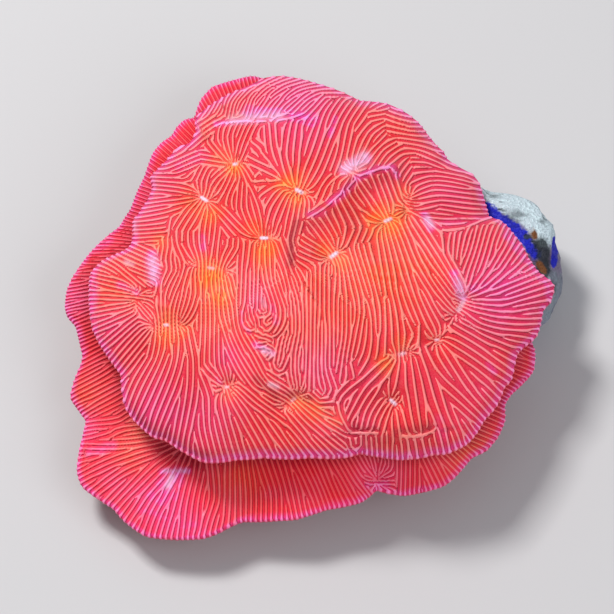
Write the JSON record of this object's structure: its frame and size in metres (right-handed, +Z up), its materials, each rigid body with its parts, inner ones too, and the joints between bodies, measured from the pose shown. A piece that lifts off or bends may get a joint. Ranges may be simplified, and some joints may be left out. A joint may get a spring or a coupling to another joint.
{
  "type": "leptoseris coral",
  "caption": "Small plating coral: a domed ribbed upper plate over a wider ribbed lower plate, grown on a loose rock.",
  "frame": {"origin": "middle of the rock's flat underside, which the colony rests on", "axes": "+Z up, out of the rock and through the plates; -Y towards the side that the picture was taken from"},
  "size_m": [0.0572, 0.0602, 0.0236],
  "materials": {
    "upper_plate": "living coral tissue over ribs, red to salmon pink, softly glossy",
    "lower_plate": "living coral tissue over ribs, deeper orange red, softly glossy",
    "rock": "rough crusted reef rock, pale with blue and brown patches"
  },
  "bodies": {
    "root": {"upper_plate": "upper_plate", "lower_plate": "lower_plate", "rock": "rock"}
  },
  "joints": []
}
